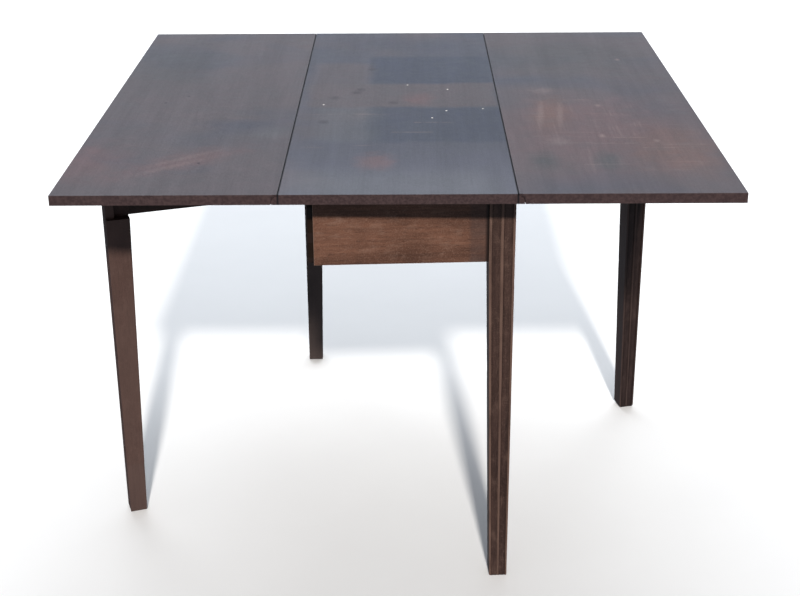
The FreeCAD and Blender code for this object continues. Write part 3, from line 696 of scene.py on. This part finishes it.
def dress_table():
    """Gives every frame node its material; wooden boards, legs and rails also get worn shapes."""
    board_piece(BOARDS[0], left_board_material(), 3.0)
    board_piece(BOARDS[1], centre_board_material(), 5.0)
    board_piece(BOARDS[2], right_board_material(), 8.0)

    legs = {
        "back_left_leg": (tone(48, 40, 38), tone(74, 63, 61), tone(96, 83, 79), 0.003),
        "front_right_leg": (tone(42, 30, 27), tone(80, 60, 53), tone(130, 104, 92), 0.003),
        "left_gate_leg": (tone(50, 35, 31), tone(85, 62, 56), tone(104, 83, 76), 0.003),
        "right_gate_leg": (tone(34, 26, 24), tone(64, 49, 46), tone(90, 73, 68), 0.006),
    }
    for index, (node, (deep, pale, wear, foot_radius)) in enumerate(legs.items()):
        cool_light_band = COOL_LIGHT_BAND if node == "left_gate_leg" else 0.0
        material = stained_material("stained_" + node, "Z", 2.0 + index, deep, pale, wear, cool_light_band=cool_light_band)
        leg_piece(node, material, foot_radius, 11.0 + index)
    for index, node in enumerate(APRONS):
        colours = (tone(70, 48, 39), tone(122, 85, 68), tone(148, 121, 107))
        corner, post = apron_black_spans(node)
        material = stained_material("stained_" + node, "X", 12.0 + index, *colours, blotches=0.26,
                                    black_ends=(corner, post))
        stained_piece(node, material, 0, 21.0 + index)
    for index, node in enumerate(SHOWN_RAILS):
        colours = (tone(44, 33, 29), tone(74, 54, 46), tone(100, 80, 71))
        material = stained_material("stained_" + node, "Y", 22.0 + index, *colours)
        stained_piece(node, material, 1, 31.0 + index)
    for index, node in enumerate(OAK_RAILS):
        apron_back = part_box("front_apron")[1].y
        material = oak_material("aged_" + node, "Y", 31.0 + index, end_place=abs(apron_back))
        stained_piece(node, material, 1, 41.0 + index)

    block_oak = oak_material("aged_block_oak", "Z", 41.0)
    rail_oak = oak_material("aged_glue_block_oak", "Y", 43.0)
    flap_iron = iron_material("rusted_iron", 5.0, tone(96, 90, 86))
    screw_iron = iron_material("rubbed_screw_iron", 8.0, tone(140, 132, 124))
    for name, node in NODES.items():
        if "block" in name:
            material = rail_oak if "glue" in name else block_oak
        elif "screw" in name:
            material = screw_iron
        else:
            material = flap_iron
        if name not in (*BOARDS, *legs, *APRONS, *SHOWN_RAILS, *OAK_RAILS):
            for slot in node.material_slots:
                slot.material = material


def place_lamp(data, place, toward):
    """Adds a lamp at a place, shining the way that toward points."""
    lamp = bpy.data.objects.new(data.name, data)
    lamp.location = place
    lamp.rotation_euler = Vector(toward).to_track_quat("-Z", "Y").to_euler()
    bpy.context.scene.collection.objects.link(lamp)
    return lamp


def soft_box(name, place, size, power, colour):
    """A large soft lamp that faces the middle of the table."""
    data = bpy.data.lights.new(name, "AREA")
    data.shape = "RECTANGLE"
    data.size, data.size_y = size
    data.energy = power
    data.color = colour
    return place_lamp(data, place, LAMP_AIM - Vector(place))


def make_floor():
    """A pale floor that shows and takes shadows, but throws no light back up at the table."""
    graph = Graph("pale_floor")
    speckle = graph.noise(graph.place, 3.0, 3.0)
    colour = graph.mix(graph.step(speckle, 0.2, 0.8), tone(240, 240, 240), tone(243, 243, 243))
    material = graph.finish(colour, 0.9, graph.noise(graph.place, 260.0, 2.0), 0.0001, specular=0.1)
    half = FLOOR_SIZE / 2
    data = bpy.data.meshes.new("floor")
    corners = [(-half, -half, 0.0), (half, -half, 0.0), (half, half, 0.0), (-half, half, 0.0)]
    data.from_pydata(corners, [], [(0, 1, 2, 3)])
    data.materials.append(material)
    floor = bpy.data.objects.new("floor", data)
    bpy.context.scene.collection.objects.link(floor)
    floor.visible_diffuse = False
    floor.visible_glossy = False


def make_lights():
    """A sun from the front, two soft boxes behind and a faint sky; of the lamps only the low box shines."""
    sun = bpy.data.lights.new("key", "SUN")
    sun.energy = SUN_STRENGTH
    sun.angle = SUN_SPREAD
    sun.color = SUN_COLOUR
    level = math.cos(SUN_ELEVATION)
    sideways = -math.sin(SUN_BEARING) * level
    away = math.cos(SUN_BEARING) * level
    key = place_lamp(sun, SUN_PLACE, (sideways, away, -math.sin(SUN_ELEVATION)))
    key.visible_glossy = False
    soft_box("sheen", BACK_PLACE, BACK_SIZE, BACK_POWER, BACK_COLOUR)
    overhead = soft_box("overhead", TOP_PLACE, TOP_SIZE, TOP_POWER, TOP_COLOUR)
    overhead.visible_glossy = False

    world = bpy.data.worlds.new("studio")
    world.use_nodes = True
    background = world.node_tree.nodes["Background"]
    background.inputs["Color"].default_value = WORLD_COLOUR
    background.inputs["Strength"].default_value = WORLD_STRENGTH
    bpy.context.scene.world = world


def make_camera():
    yaw, pitch, roll = CAMERA_YAW, CAMERA_PITCH, CAMERA_ROLL
    forward = Vector((math.sin(yaw) * math.cos(pitch), math.cos(yaw) * math.cos(pitch), -math.sin(pitch)))
    level = Vector((math.cos(yaw), -math.sin(yaw), 0.0))
    down = -level.cross(forward)
    right = math.cos(roll) * level + math.sin(roll) * down
    down = math.cos(roll) * down - math.sin(roll) * level
    data = bpy.data.cameras.new("camera")
    data.lens = CAMERA_LENS
    data.sensor_width = CAMERA_SENSOR
    data.clip_end = CAMERA_REACH
    camera = bpy.data.objects.new("camera", data)
    turn = Matrix((right, -down, -forward)).transposed()
    camera.matrix_world = Matrix.Translation(CAMERA_PLACE) @ turn.to_4x4()
    bpy.context.scene.collection.objects.link(camera)
    bpy.context.scene.camera = camera


dress_table()
make_floor()
make_lights()
make_camera()
bpy.context.scene.view_settings.view_transform = "Standard"
